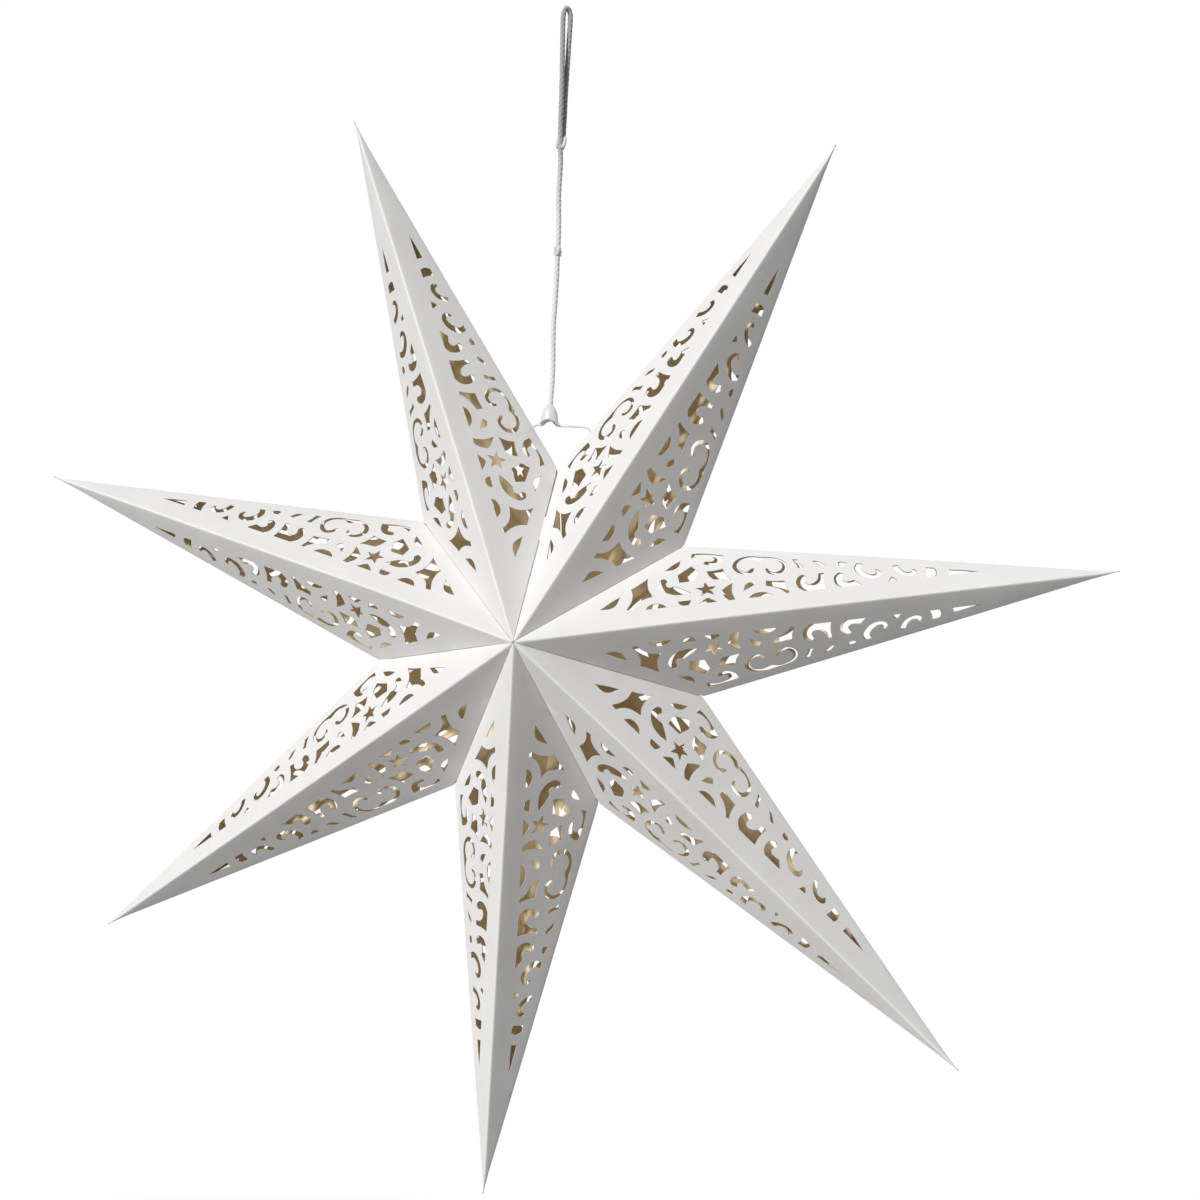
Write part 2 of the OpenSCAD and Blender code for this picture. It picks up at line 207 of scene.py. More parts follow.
# the cut edge, cream with browner stretches
def cardEdge():
    f = Finish("cutEdge")
    at = f.place()
    burn = f.noise(at, 160, 3)
    grain = f.noise(at, 1500, 2)
    colour = f.mix(f.spread(burn * 0.75 + grain * 0.25, 0.42, 0.62), card["edge"], card["edgeBrown"])
    return f.paint({"Base Color": colour, "Roughness": f.spread(grain, 0.3, 0.7, 0.75, 0.9),
                   "Normal": f.bump(grain, 0.4, 0.0001), "Specular IOR Level": 0.2})


# puts whole arrays of corners and faces into one mesh object
def addPiece(name, corners, faceSets, materials, attributes=None, sharp=None):
    mesh = bpy.data.meshes.new(name)
    sizes = np.concatenate([np.full(len(f), f.shape[1]) for f, _ in faceSets])
    loops = np.concatenate([f.reshape(-1) for f, _ in faceSets]).astype(np.int32)
    slots = np.concatenate([np.broadcast_to(s, len(f)) for f, s in faceSets]).astype(np.int32)
    mesh.vertices.add(len(corners))
    mesh.vertices.foreach_set("co", (corners * 0.001).astype(np.float32).reshape(-1))
    mesh.loops.add(len(loops))
    mesh.loops.foreach_set("vertex_index", loops)
    mesh.polygons.add(len(sizes))
    mesh.polygons.foreach_set("loop_start", np.concatenate([[0], np.cumsum(sizes)[:-1]]).astype(np.int32))
    mesh.polygons.foreach_set("material_index", slots)
    mesh.polygons.foreach_set("use_smooth", np.ones(len(sizes), bool))
    mesh.update(calc_edges=True)
    for key, values in (attributes or {}).items():
        made = mesh.attributes.new(key, "FLOAT", "POINT")
        made.data.foreach_set("value", values.astype(np.float32))
    for material in materials:
        mesh.materials.append(material)
    if sharp is not None:
        mesh.set_sharp_from_angle(angle=math.radians(sharp))
    made = bpy.data.objects.new(name, mesh)
    scene.collection.objects.link(made)
    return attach(made, "root")


def unit(v):
    v = np.asarray(v, float)
    return v / np.linalg.norm(v, axis=-1, keepdims=True)


# a smooth route through given points: each span is the cubic through its ends that is level there
# with the line between the neighbours on each side
def smoothRoute(points, perSpan):
    p = np.asarray(points, float)
    p = np.vstack([2 * p[0] - p[1], p, 2 * p[-1] - p[-2]])
    a, b, c, d = p[:-3, None], p[1:-2, None], p[2:-1, None], p[3:, None]
    t = (np.arange(perSpan) / perSpan)[None, :, None]
    spans = 0.5 * (2 * b + (c - a) * t + (2 * a - 5 * b + 4 * c - d) * t ** 2
                   + (3 * b - a - 3 * c + d) * t ** 3)
    return np.vstack([spans.reshape(-1, p.shape[1]), p[-2]])


# quads of a grid of rows and columns, joined round where it is closed
def gridFaces(rows, columns, roundColumns=True, roundRows=False):
    i = np.arange(rows if roundRows else rows - 1)[:, None]
    j = np.arange(columns if roundColumns else columns - 1)[None, :]
    nextRow, nextColumn = (i + 1) % rows, (j + 1) % columns
    quads = [i * columns + j, i * columns + nextColumn,
             nextRow * columns + nextColumn, nextRow * columns + j]
    return np.stack([np.broadcast_to(q, (len(i), j.shape[1])) for q in quads], -1).reshape(-1, 4)


star = {
    "tipRadius": 300.0,
    "valleyRadius": 92.0,
    "apexDepth": 60.0,
    "cardThickness": 0.45,
    "creaseWidth": 1.1,
    "seamSetBack": 0.12,
    "closingGap": 0.8,
    "cutInset": 0.3,
    "apexHole": 0.82,
    "bow": 0.5,
    "flapWidth": 6.5,
    "flapLap": 3.6,
    "flapSpan": (0.17, 0.9),  # where the seam's flap starts and ends, as shares of the seam from the apex
    "tieHoleFromValley": 26.0,
    "tieHoleRadius": 1.0,
    "bendFrom": 83.0,  # the tips start to lean and to grow at this height
    # how far each tip is off its ideal place to the right and up, and how much longer its point is
    "tipShift": [(-0.35, 0.17), (0.36, -1.58), (-2.24, -2.81), (-2.0, 0), (-0.5, 0.63), (-0.86, -3.78),
                 (-2.05, -0.99)],
    "tipGrowth": [-1.5, -4.0, 5.0, -2.5, -2.0, 0.35, 2.6],
}

drawn = {"ridge": 306.0, "along": 212.8, "out": 58.4}

# cut-outs of one face: strokes of points, each as the distance down the ridge and out from it
cutOuts = [
    [[[69.5, 12], [77, 14.5], [84.4, 16.4]], [[84.4, 16.4], [85.8, 12]]],
    [[[91.6, 12.1], [90.3, 15.2], [90.8, 18.8]], [[90.8, 18.8], [95.4, 20]], [[95.4, 20], [96, 16],
     [97.5, 12.1]]],
    [[[101.2, 20], [100.1, 17.6], [101.5, 15.3], [104.7, 14.5], [108.6, 16.2], [111, 19.6], [112, 24]],
     [[112, 24], [108.4, 24.2]], [[108.4, 24.2], [107.7, 20.8], [105.6, 18.2], [103.2, 18.2],
     [102.5, 19.6]]],
    [[[111.2, 12.2], [112.4, 14.8], [113.5, 15.9], [115, 14.6], [116.4, 12]]],
    [[[119.6, 22.9], [117.9, 20.2], [119.2, 17], [122.8, 15.7], [127.2, 17.2], [130.2, 21], [131.1, 25.4],
      [129, 29.2]], [[129, 29.2], [125.3, 28.1]], [[125.3, 28.1], [127, 25.2], [125.8, 21.6],
     [122.6, 19.2], [120.6, 20.4], [121.2, 22.7]]],
    [[[133, 29.8], [136, 31.6], [138.2, 31.4]], [[138.2, 31.4], [138, 28.8], [135.2, 27.9], [133, 29.8]]],
    [[[129, 12.1], [140.4, 12.1]], [[140.4, 12.1], [142.6, 14.8], [142.9, 18.8], [141.5, 22],
     [138.7, 23.7], [136.1, 21.8]], [[136.1, 21.8], [138.2, 18.2], [136.6, 16.2], [132.4, 16.9]]],
    [[[144.2, 30], [147.2, 30], [151, 34.9]], [[151, 34.9], [147.4, 34.2], [144.2, 30]]],
    [[[147, 12.1], [147.2, 18], [146.1, 24.7]], [[146.1, 24.7], [149.6, 24.9]], [[149.6, 24.9],
     [150.6, 20.8], [153, 18.2], [155.8, 17.7], [156.8, 19.9], [155.4, 23]], [[155.4, 23], [157.2, 25.3],
     [160.2, 23.6], [162, 19.4], [161.2, 15], [158.4, 12.1]]],
    [[[155.3, 30.2], [158.8, 30.2]], [[158.8, 30.2], [159.4, 34.2], [161, 37.9]], [[161, 37.9],
     [157.2, 37.1]], [[157.2, 37.1], [156.6, 33.4], [155.3, 30.2]]],
    [[[175.4, 33], [174.8, 29.4], [171.2, 26.9], [167, 27.7], [164.2, 31], [163.8, 35.2], [166.2, 39],
      [171, 41.4], [176, 42.6], [181, 44], [186.4, 43.4], [190.4, 40.4], [191.6, 36.2], [189.6, 31.9],
      [185, 29.8], [181.2, 31.4], [180.3, 34.6]], [[180.3, 34.6], [182.2, 34.4]], [[182.2, 34.4],
     [184.8, 32.3], [187.7, 34], [188.4, 37.2], [186.4, 40.6], [182, 41.3], [177.6, 39]],
     [[177.6, 39], [173, 40], [168.8, 38.4], [166.4, 35], [167.2, 31.4], [170.4, 29.5], [172.9, 31],
      [173.4, 33.2]]],
    [[[166.8, 22.4], [171.6, 22.9], [176.5, 24.1]], [[176.5, 24.1], [177.1, 19.6]], [[177.1, 19.6],
     [172.8, 17.6], [169.6, 14.8], [167.8, 12]], [[167.8, 12], [165.4, 12.4]], [[165.4, 12.4],
     [166.5, 17], [166.8, 22.4]]],
    [[[174, 11.8], [176.6, 14.7], [180.5, 15.8], [184.6, 14.7], [187.2, 11.8]]],
    [[[182, 21.4], [184, 24.1], [187.2, 22.4], [188.9, 17.4]], [[188.9, 17.4], [185.4, 19.2],
     [182, 21.4]]],
    [[[194, 46.8], [199.6, 48.9], [205.6, 50.5], [210.6, 51]], [[210.6, 51], [211.6, 46.9]],
     [[211.6, 46.9], [207.4, 48.4], [202.8, 47.9], [199.8, 45.4], [201, 43.3], [204.6, 43.9]],
     [[204.6, 43.9], [205.8, 41.8], [203, 40.1], [199.2, 40.1], [195.6, 42.8], [194, 46.8]]],
    [[[196, 36.9], [200.4, 36.1], [205.3, 36.1]], [[205.3, 36.1], [204.2, 31.8], [202.3, 28.7]],
     [[202.3, 28.7], [197.6, 28.3], [192.7, 27.4]], [[192.7, 27.4], [195, 31.6], [196, 36.9]]],
    [[[192.7, 25.4], [196.4, 23], [199.9, 19.9]], [[199.9, 19.9], [198.9, 15], [196.6, 11.6]],
     [[196.6, 11.6], [193.1, 11.9]], [[193.1, 11.9], [194, 18], [192.7, 25.4]]],
    [[[202, 11.7], [204.6, 14.4], [207, 16], [209.8, 14.2], [212.4, 11.7]]],
    [[[211.8, 41.5], [220, 35.5]], [[220, 35.5], [219.9, 29.2]], [[219.9, 29.2], [211.6, 29.2]],
     [[211.6, 29.2], [208.7, 36.6]]],
    [[[216.5, 46.7], [221.4, 43.8], [226.3, 39.4]], [[226.3, 39.4], [221.4, 39.6], [218, 42],
     [216.5, 46.7]]],
    [[[214.2, 20.6], [219, 19.8], [224.4, 20.8], [228.6, 24.2], [230.5, 28.6], [229.4, 32.8],
      [226.6, 33.9], [225, 31.6]], [[225, 31.6], [226.2, 29.2], [225.2, 27.1], [222, 27.3]],
     [[222, 27.3], [218, 24.4], [214.2, 20.6]]],
    [[[215.1, 15.7], [222.3, 15.5]], [[222.3, 15.5], [221.8, 13], [220.2, 11.5]], [[220.2, 11.5],
     [217, 11.5]], [[217, 11.5], [215.8, 13.2], [215.1, 15.7]]],
    [[[227.6, 11.8], [229.6, 14.8], [233.2, 16.2], [237, 15], [239.3, 11.8]]],
    [[[234.6, 36], [239.8, 31.9], [244.7, 28.6]], [[244.7, 28.6], [244.3, 24], [245.6, 18.8],
     [248.6, 13.4]], [[248.6, 13.4], [245.2, 12.8]], [[245.2, 12.8], [242.4, 17], [238.2, 19.8],
     [232.7, 21]], [[232.7, 21], [235, 25.6], [235.4, 30.6], [234.6, 36]]],
    [[[250, 24.3], [255.6, 20.8], [261.8, 15.7]], [[261.8, 15.7], [256.4, 15.4], [252.6, 18],
     [250, 24.3]]],
]
starCut = {"centre": (206.7, 22.1), "outer": 6.1, "inner": 2.7}

# the front right face of an arm whose tip is straight up
step = 2 * math.pi / 7
tip = np.array([0, 0, star["tipRadius"]])
apex = np.array([0, -star["apexDepth"], 0])
valley = star["valleyRadius"] * np.array([math.sin(step / 2), 0, math.cos(step / 2)])
ridgeLength = np.linalg.norm(apex - tip)
ridgeWay = (apex - tip) / ridgeLength
valleyAlong = (valley - tip) @ ridgeWay
outWay = unit(valley - tip - valleyAlong * ridgeWay)
valleyOut = (valley - tip) @ outWay
faceNormal = np.cross(ridgeWay, outWay)
foldWay = np.array([valleyAlong, valleyOut]) / math.hypot(valleyAlong, valleyOut)
foldIn = np.array([foldWay[1], -foldWay[0]])
seamWay = unit([ridgeLength - valleyAlong, -valleyOut])
seamIn = np.array([seamWay[1], -seamWay[0]])
ridgeIn = unit(np.cross([1, 0, 0], ridgeWay))
ridgeIn = ridgeIn if ridgeIn[1] > 0 else -ridgeIn
foldIn3 = unit(np.cross([0, 1, 0], valley - tip))
foldIn3 = foldIn3 if foldIn3[0] < 0 else -foldIn3
foldHalf = math.acos(-faceNormal[1])  # half the angle between the two faces at a fold


def toFace(points):
    p = np.asarray(points, float)
    shear = (valleyAlong - drawn["along"] * ridgeLength / drawn["ridge"]) / drawn["out"]
    return np.stack([p[:, 0] * ridgeLength / drawn["ridge"] + shear * p[:, 1],
                     p[:, 1] * valleyOut / drawn["out"]], 1)


# the closed loop of one cut-out: curved along each stroke, with a corner where two strokes meet
def cutLoop(strokes):
    parts = []
    for stroke in strokes:
        s = np.asarray(stroke, float)
        parts.append(smoothRoute(s, 3 if len(s) > 2 else 1)[:-1])
    last = np.asarray(strokes[-1][-1], float)
    if np.linalg.norm(last - np.asarray(strokes[0][0], float)) > 0.01:
        parts.append(last[None])
    return np.vstack(parts)


def starLoop():
    k = np.arange(10)
    r = np.where(k % 2 == 0, starCut["outer"], starCut["inner"])
    turn = k * math.pi / 5
    centre = np.array(starCut["centre"])
    return centre + np.stack([r * np.sin(turn), r * np.cos(turn)], 1)


# a closed loop moved inwards, each corner along its bisector
def insetLoop(loop, distance):
    before = unit(loop - np.roll(loop, 1, 0))
    after = unit(np.roll(loop, -1, 0) - loop)
    both = before + after
    turned = np.sign((loop[:, 0] * np.roll(loop[:, 1], -1) - loop[:, 1] * np.roll(loop[:, 0], -1)).sum())
    across = np.stack([-both[:, 1], both[:, 0]], 1)
    lean = np.maximum(1 + (before * after).sum(1), 0.6)[:, None]
    return loop + turned * distance * across / lean


# which points lie inside a closed loop: an odd count of its sides is crossed on the way out
def inside(points, loop):
    x, y = points[:, 0, None], points[:, 1, None]
    x0, y0 = loop[:, 0], loop[:, 1]
    x1, y1 = np.roll(x0, -1), np.roll(y0, -1)
    with np.errstate(divide="ignore", invalid="ignore"):
        crossed = ((y0 > y) != (y1 > y)) & (x < (x1 - x0) * (y - y0) / (y1 - y0) + x0)
    return crossed.sum(1) % 2 == 1


# an ellipse: the cosine along one way and the sine along the other
def ellipseLoop(centre, alongWay, alongRadius, acrossWay, acrossRadius, sides=20):
    t = (np.arange(sides) * 2 * math.pi / sides)[:, None]
    return centre + alongRadius * np.cos(t) * alongWay + acrossRadius * np.sin(t) * acrossWay


# the corners of a face's mesh: counts along its sides, rows beside its creases, and an open grid inside
faceGrid = {
    "ridgeCount": 62,
    "foldCount": 46,
    "seamCount": 24,
    "beside": (0.3, 0.65, 1.05, 1.6),
    "along": 7,
    "across": 6.2,
    "besideRoom": (0.12, 0.25),  # least distance of those rows to a side and to a cut-out
    "insideRoom": (2.6, 2.0),
}


# triangles of one flat face, with the cut-outs left open and rows of corners beside the creases
def faceMesh(tieHole=False):
    top, low, side = np.zeros(2), np.array([ridgeLength, 0]), np.array([valleyAlong, valleyOut])
    corner = np.array([top, side, low])
    ridgeT = np.linspace(0, 1, faceGrid["ridgeCount"])[:, None]
    foldT = np.linspace(0, 1, faceGrid["foldCount"])[:, None]
    seamT = np.linspace(0, 1, faceGrid["seamCount"])[:, None]
    ridgeRow, foldRow, seamRow = low * ridgeT, side * foldT, side + (low - side) * seamT
    border = np.vstack([ridgeRow, foldRow[1:], seamRow[1:-1]])
    beside = [ridgeRow + [0, d] for d in faceGrid["beside"]]
    beside += [foldRow + d * foldIn for d in faceGrid["beside"]]
    grid = np.stack(np.meshgrid(np.arange(0, ridgeLength, faceGrid["along"]),
                                np.arange(0, valleyOut, faceGrid["across"])), -1)
    grid[1::2, :, 0] += faceGrid["along"] / 2
    drawnLoops = [cutLoop(c) for c in cutOuts] + [starLoop()]
    loops = [toFace(insetLoop(c, star["cutInset"])) for c in drawnLoops]
    hole = star["apexHole"]
    loops.append(ellipseLoop(low, np.array([1, 0]), hole, np.array([0, 1]), hole, 16))
    if tieHole:
        centre = side - star["tieHoleFromValley"] * foldWay
        across = star["tieHoleRadius"] / abs(math.sin(foldHalf))
        loops.append(ellipseLoop(centre, foldWay, star["tieHoleRadius"], foldIn, across))
    rims = np.vstack(loops)

    def roomy(points, room):
        depth = np.min(np.stack([points[:, 1], points @ foldIn, (points - low) @ seamIn]), 0)
        apart = np.sqrt(((points[:, None] - rims[None]) ** 2).sum(-1)).min(1)
        return points[(depth > room[0]) & (apart > room[1])]

    inner = roomy(grid.reshape(-1, 2), faceGrid["insideRoom"])
    rows = roomy(np.vstack(beside), faceGrid["besideRoom"])
    points = np.vstack([border, rows, inner, rims])
    first = len(border) + len(rows) + len(inner)
    edges = []
    for loop in loops:
        n = len(loop)
        edges += [(first + k, first + (k + 1) % n) for k in range(n)]
        first += n
    places = [np.where(np.all(np.isclose(border, c), 1))[0][0] for c in (top, low, side)]
    edges += [(places[0], places[1]), (places[0], places[2]), (places[1], places[2])]
    made = delaunay_2d_cdt([Vector(p) for p in points], edges, [], 0, 1e-4)
    flat = np.array([tuple(v) for v in made[0]])
    tris = np.array([f for f in made[2] if len(f) == 3])
    middle = flat[tris].mean(1)
    keep = inside(middle, corner)
    for loop in loops:
        keep &= ~inside(middle, loop)
    a, b, c = (flat[tris[:, k]] for k in range(3))
    ab, ac = b - a, c - a
    keep &= np.abs(ab[:, 0] * ac[:, 1] - ab[:, 1] * ac[:, 0]) > 1e-7
    tris = tris[keep]
    used, back = np.unique(tris, return_inverse=True)
    return flat[used], back.reshape(-1, 3)


# how far a crease of half width w draws in: a parabola over the crease that meets the flat card beyond
def creaseDepth(distance, lean, w):
    x = distance * math.cos(lean)
    return np.where(x < w, x * x / (2 * w) + w / 2 - x, 0) * math.tan(lean)


# carries a flat face to its place in space, with rounded creases, a slight bow and a set-back seam
def faceInSpace(flat, setBack, bow):
    out = flat[:, 1]
    fold = flat @ foldIn
    seam = (flat - [ridgeLength, 0]) @ seamIn
    w = np.minimum(star["creaseWidth"], 0.02 + 0.085 * flat[:, 0])
    p = tip + flat[:, :1] * ridgeWay + flat[:, 1:] * outWay
    ridgeLean = math.asin(min(1, outWay @ ridgeIn))
    q = foldIn[0] * ridgeWay + foldIn[1] * outWay
    foldLean = math.asin(min(1, q @ foldIn3))
    p = p + creaseDepth(out, ridgeLean, w)[:, None] * ridgeIn
    p = p + creaseDepth(fold, foldLean, w)[:, None] * foldIn3
    height = out * fold * seam
    p = p + (bow * height / height.max())[:, None] * faceNormal
    near = np.clip(1 - seam / 2.5, 0, 1)
    if setBack > star["seamSetBack"]:  # the closing seam narrows to a third at the apex
        fromApex = (flat - [ridgeLength, 0]) @ -seamWay / np.linalg.norm(valley - apex)
        near = near * (1 + 2 * np.clip(fromApex, 0, 1)) / 3
    across = np.array([math.cos(step / 2), 0, -math.sin(step / 2)])
    p = p - (near * setBack)[:, None] * across
    # a mask for the painted highlight along the ridge and the fold
    creaseHighlight = np.exp(-(np.minimum(out, fold) / 0.75) ** 2)
    return p, creaseHighlight


def mergeClose(points, faces, grid=0.004):
    keys = np.round(points / grid).astype(np.int64)
    _, first, back = np.unique(keys, axis=0, return_index=True, return_inverse=True)
    return first, back.reshape(-1)[faces]


# gives a sheet its thickness: the inner side follows the corner normals, and open edges get a rim
def thicken(points, tris, thickness):
    a, b, c = (points[tris[:, k]] for k in range(3))
    area = np.cross(b - a, c - a)
    normals = np.zeros_like(points)
    for k in range(3):
        np.add.at(normals, tris[:, k], area)
    normals = unit(normals + 1e-12)
    inner = points - thickness * normals
    n = len(points)
    sides = np.concatenate([tris[:, [0, 1]], tris[:, [1, 2]], tris[:, [2, 0]]])
    codes = sides[:, 0] * n + sides[:, 1]
    free = sides[~np.isin(codes, sides[:, 1] * n + sides[:, 0])]
    rim = np.stack([free[:, 1], free[:, 0], free[:, 0] + n, free[:, 1] + n], 1)
    return np.vstack([points, inner]), tris, tris[:, ::-1] + n, rim


plainFace = faceMesh()
tieFace = faceMesh(tieHole=True)
print("face drawn,", len(plainFace[1]), "triangles")

whiteCard, insidePaintedShade, cutEdge = cardOutside(), cardInside(), cardEdge()
armNames = ["UpperRight", "Right", "LowerRight", "Bottom", "LowerLeft", "Left", "UpperLeft"]
armNodes = ["upper_right", "right", "lower_right", "bottom", "lower_left", "left", "upper_left"]


# a strip under the card, carried along a straight line in space: rows across it, columns along it
def stripSurface(start, end, profile, count=20):
    t = np.linspace(0, 1, count)[:, None, None]
    grid = start + t * (end - start) + profile[None]
    rows, columns = grid.shape[:2]
    quads = gridFaces(rows, columns, roundColumns=False)
    tris = np.vstack([quads[:, [0, 1, 2]], quads[:, [0, 2, 3]]])
    return grid.reshape(-1, 3), tris


# the flap beyond the seam: down from the doubled card, round the bend and under the next arm
def seamFlap():
    across = np.array([math.cos(step / 2), 0, -math.sin(step / 2)])
    seam3 = unit(valley - apex)
    inward = np.cross(seam3, across)
    slope = math.asin(faceNormal @ across)
    t, slack = star["cardThickness"], 0.1
    c, s = math.cos(slope), math.sin(slope)
    lap, midLap, width = star["flapLap"], 1.6, star["flapWidth"]
    flat = np.array([(-lap * c - t * s, -lap * s + t * c), (-midLap * c - t * s, -midLap * s + t * c),
                     (-t * s, t * c + 0.03), (0, t / c + 0.15), (t * s, t * c + slack),
                     (2.5 * c + t * s, -2.5 * s + t * c + slack),
                     (width * c + t * s, -width * s + t * c + slack)])
    profile = flat[:, :1] * across + flat[:, 1:] * inward
    start, end = (apex + share * (valley - apex) for share in star["flapSpan"])
    return stripSurface(start, end, profile)


# turns triangles round where, summed up, they face away from the given way
def outwards(points, tris, way):
    a, b, c = (points[tris[:, k]] for k in range(3))
    return tris if (np.cross(b - a, c - a).sum(0) @ way) > 0 else tris[:, ::-1]


# four faces mirrored into one folded sheet, its flaps, and the lean and growth of its tip, which rise
# from nothing: the lean with the height, the growth with its cube
def buildArm(index):
    rng = np.random.default_rng(40 + index)
    points, tris, creaseHighlights = [], [], []
    count = 0
    for across in (1, -1):
        for through in (1, -1):
            closing = (index == 0 and across == -1) or (index == 6 and across == 1)
            flat, faces = tieFace if closing else plainFace
            setBack = star["closingGap"] / 2 if closing else star["seamSetBack"]
            p, creaseHighlight = faceInSpace(flat, setBack, star["bow"] * rng.uniform(-1, 0.6))
            p = p * [across, through, 1]
            points.append(p)
            creaseHighlights.append(creaseHighlight)
            tris.append((faces if across * through > 0 else faces[:, ::-1]) + count)
            count += len(p)
    points, tris, creaseHighlights = np.vstack(points), np.vstack(tris), np.concatenate(creaseHighlights)
    first, tris = mergeClose(points, tris)
    points, creaseHighlights = points[first], creaseHighlights[first]
    level = np.all(tris[:, [0, 1, 2]] != tris[:, [1, 2, 0]], 1)
    tris = tris[level]
    sheets = [(points, tris, creaseHighlights)]
    if index != 6:
        for through in (1, -1):
            fp, ft = seamFlap()
            fp = fp * [1, through, 1]
            ft = outwards(fp, ft, np.array([0, -through, 0]))
            sheets.append((fp, ft, np.zeros(len(fp))))
    corners, outer, inner, rims, marks = [], [], [], [], []
    count = 0
    for p, t, m in sheets:
        c, o, i, r = thicken(p, t, star["cardThickness"])
        corners.append(c)
        outer.append(o + count)
        inner.append(i + count)
        rims.append(r + count)
        marks.append(np.concatenate([m, m]))
        count += len(c)
    corners = np.vstack(corners)
    rise = np.clip((corners[:, 2] - star["bendFrom"]) / (star["tipRadius"] - star["bendFrom"]), 0, 1)
    corners[:, 2] += star["tipGrowth"][index] * rise ** 3
    turn = (index + 0.5) * step
    c, s = math.cos(turn), math.sin(turn)
    x = corners[:, 0] * c + corners[:, 2] * s
    z = -corners[:, 0] * s + corners[:, 2] * c
    shift = star["tipShift"][index]
    placed = np.stack([x + shift[0] * rise, corners[:, 1], z + shift[1] * rise], 1)
    made = addPiece("arm" + armNames[index], placed,
                    [(np.vstack(outer), 0), (np.vstack(inner), 1), (np.vstack(rims), 2)],
                    [whiteCard, insidePaintedShade, cutEdge], {"creaseHighlight": np.concatenate(marks)}, 40)
    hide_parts("arm_" + armNodes[index])
    return made


arms = [buildArm(i) for i in range(7)]
print("arms folded,", len(arms[0].data.polygons), "faces each")

cord = {
    "diameter": 2.8,
    "pitch": 8.5,
    "plies": 3,
    "capX": -7.0,
    "capZ": 115.0,
    "lean": math.radians(3.3),
    "knotPlace": (0.4, 0, 92),
    "loopKnotPlace": (-0.2, 0, 150),
    "tieDiameter": 1.2,
    # the cord's route from the cap to the loop and back, in the cap's own upright; the loop hangs turned,
    # so that from the front its strands close in on each other towards the knot
    "route": [(0, 0, 5), (0, 0, 12), (0.3, 0, 20), (0.4, 0.1, 28), (0.2, 0.2, 36), (-0.1, 0.1, 44),
              (-0.2, 0, 52), (0, -0.1, 60), (0.3, -0.1, 68), (0.4, 0, 76), (0.4, 0, 84), (0.4, 0, 92),
              (0.5, 0, 100), (0.3, 0, 107), (0, 0, 114), (-0.3, 0, 121), (-0.3, 0, 128),
              (-0.1, 0, 135), (-0.2, 0, 142), (-0.4, -0.7, 147), (-0.5, -1.4, 152), (-0.5, -1.8, 159),
              (-0.6, -1.8, 166), (-0.6, -1.8, 173), (-0.7, -1.8, 180), (-0.9, -1.7, 187),
              (-1.1, -1.7, 194), (-1.3, -1.6, 201), (-1.5, -1.5, 208), (-1.7, -1.4, 214),
              (-1.6, -1.3, 218), (-1, -0.9, 220.6), (0, 0, 221.6), (1, 0.9, 220.6), (1.6, 1.3, 218),
              (1.7, 1.4, 214), (1.5, 1.5, 208), (1.3, 1.6, 201), (1.1, 1.7, 194), (0.9, 1.7, 187),
              (0.7, 1.8, 180), (0.6, 1.8, 173), (0.6, 1.8, 166), (0.5, 1.8, 159), (0.5, 1.6, 152)],
    # the tie thread's route between its two holes, measured from the cap's place
    "tieRoute": [(-4.8, 0, -1.1), (-3.2, 0, -0.3), (-1.6, 0, 1.5), (0, 0, 3), (1.6, 0, 1.8), (3, 0, 0.2),
                 (4.8, 0, -0.7), (8, 0, -0.6), (12, 0, -0.4), (16, 0, -0.3), (19, 0, -0.4)],
}


# off-white cotton with painted shade: each ply darkened into its furrow, and the loop tinted greyer for its
# shade
def cordFinish():
    f = Finish("twistedCotton")
    at = f.place()
    fluff = f.noise(at, 1400, 4, 0.7)
    patch = f.noise(at, 60, 2)
    body = f.mix(f.spread(fluff * 0.5 + patch * 0.5, 0.4, 0.6),
                 (0.88, 0.86, 0.84, 1), (0.95, 0.94, 0.92, 1))
    # painted shade: darker into each furrow between the plies
    furrowShaded = f.mix(f.spread(f.attribute("furrowShade"), 0.0, 0.9), body, (0.70, 0.67, 0.62, 1))
    # painted shade: the loop's strands tinted grey
    loop = f.mix(f.spread(f.attribute("along"), 0.36, 0.54), furrowShaded, (0.54, 0.56, 0.59, 1), "MULTIPLY")
    return f.paint({"Base Color": loop, "Roughness": f.spread(fluff, 0.3, 0.7, 0.8, 0.95),
                   "Normal": f.bump(fluff, 0.5, 0.0002), "Specular IOR Level": 0.2,
                   "Subsurface Weight": 0.6, "Subsurface Scale": 0.002, "Subsurface Radius": (1, 1, 1)})


# milky moulded plastic with a slightly uneven skin
def capFinish():
    f = Finish("milkyPlastic")
    at = f.place()
    skin = f.noise(at, 220, 3)
    cloud = f.noise(at, 90, 2)
    colour = f.mix(f.spread(cloud, 0.4, 0.6), (0.74, 0.77, 0.79, 1), (0.82, 0.85, 0.88, 1))
    return f.paint({"Base Color": colour, "Roughness": f.spread(skin, 0.35, 0.65, 0.28, 0.42),
                   "Normal": f.bump(skin, 0.15, 0.0002), "Specular IOR Level": 0.5,
                   "Subsurface Weight": 0.6, "Subsurface Scale": 0.005, "Subsurface Radius": (1, 1, 1)})


# puts points of the cap's own upright in their place: leant to the left going up, then moved
def onCap(points):
    p = np.asarray(points, float)
    c, s = math.cos(cord["lean"]), math.sin(cord["lean"])
    return np.stack([p[:, 0] * c - p[:, 2] * s + cord["capX"], p[:, 1],
                     p[:, 0] * s + p[:, 2] * c + cord["capZ"]], 1)


# the same route with corners an even distance apart
def evenRoute(route, spacing):
    length = np.concatenate([[0], np.cumsum(np.linalg.norm(np.diff(route, axis=0), axis=1))])
    count = max(3, int(round(length[-1] / spacing)) + 1)
    at = np.linspace(0, length[-1], count)
    return np.stack([np.interp(at, length, route[:, k]) for k in range(3)], 1), at


